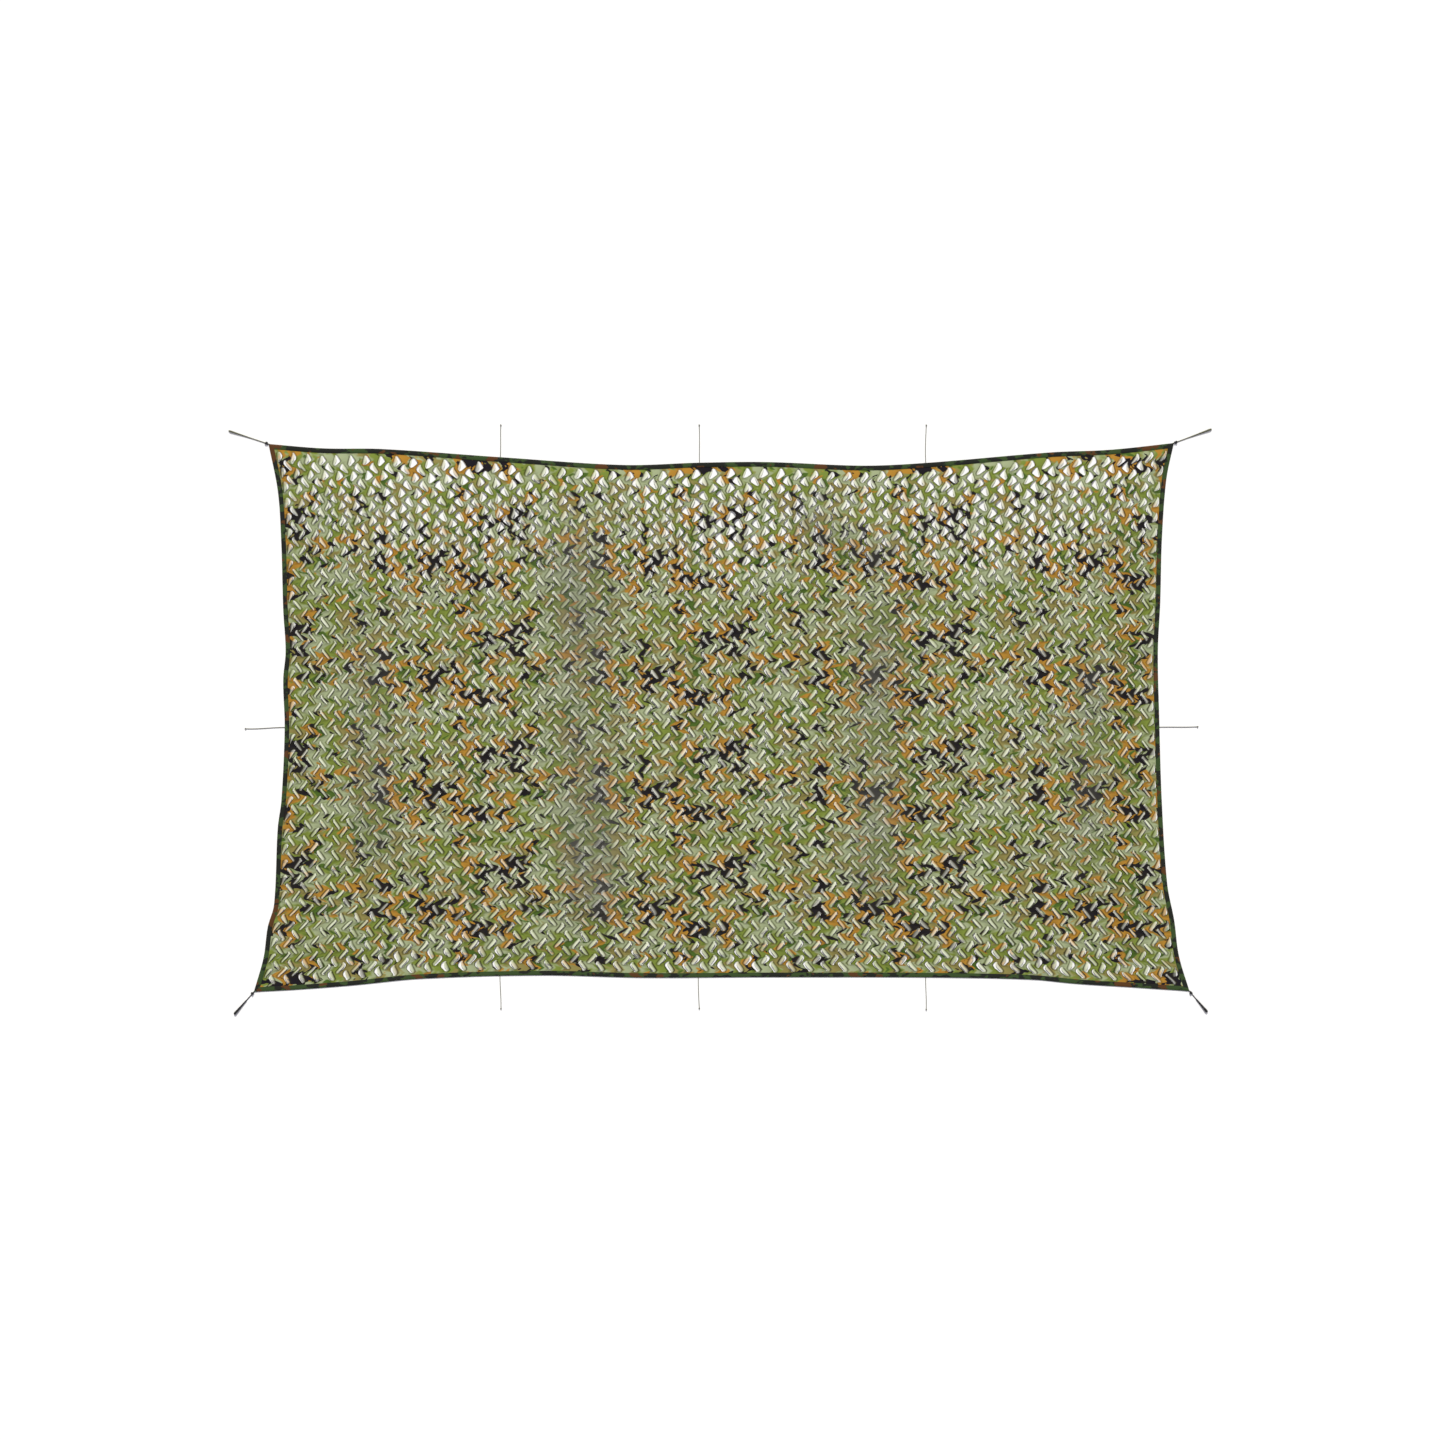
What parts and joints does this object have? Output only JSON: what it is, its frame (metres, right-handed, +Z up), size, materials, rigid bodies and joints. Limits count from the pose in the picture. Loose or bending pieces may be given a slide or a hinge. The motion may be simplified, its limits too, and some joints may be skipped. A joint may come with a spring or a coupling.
{
  "type": "camouflage net",
  "caption": "Flat rectangular camouflage net: leaf-cut woodland-print cloth with taped edges and short tie cords at the corners and along the sides.",
  "frame": {"origin": "on the surface that the net lies on, under the middle of the bound net, ties left out", "axes": "+X along the net's long side, +Y towards its top edge, +Z up from the surface, out of the net's face"},
  "size_m": [5.3398, 3.2057, 0.036],
  "materials": {
    "printed_cloth": "woodland print in leaf green, sage, ochre brown and near black on thin coated woven polyester",
    "binding_tape": "dark woodland-print tape, folded and stitched",
    "thin_cord": "grey-olive braided cord",
    "olive_cord": "olive braided cord, whipped at the end",
    "black_cord": "black braided cord, whipped at the end"
  },
  "bodies": {
    "root": {"cloth": "printed_cloth", "binding_top": "binding_tape", "binding_right": "binding_tape", "binding_bottom": "binding_tape", "binding_left": "binding_tape", "tie_top_1": "thin_cord", "tie_top_2": "thin_cord", "tie_top_3": "thin_cord", "tie_right": "thin_cord", "tie_bottom_3": "thin_cord", "tie_bottom_2": "thin_cord", "tie_bottom_1": "thin_cord", "tie_left": "thin_cord", "end_knot_top_1": "thin_cord", "end_knot_top_2": "thin_cord", "end_knot_top_3": "thin_cord", "end_knot_right": "thin_cord", "end_knot_bottom_3": "thin_cord", "end_knot_bottom_2": "thin_cord", "end_knot_bottom_1": "thin_cord", "end_knot_left": "thin_cord", "tie_corner_top_left": "olive_cord", "tie_corner_top_right": "olive_cord", "tie_corner_bottom_right": "black_cord", "tie_corner_bottom_left": "black_cord", "whipping_top_left": "olive_cord", "whipping_top_right": "olive_cord", "whipping_bottom_right": "black_cord", "whipping_bottom_left": "black_cord", "corner_knot_top_left": "black_cord", "corner_knot_top_right": "black_cord", "corner_knot_bottom_right": "black_cord", "corner_knot_bottom_left": "black_cord"}
  },
  "joints": []
}
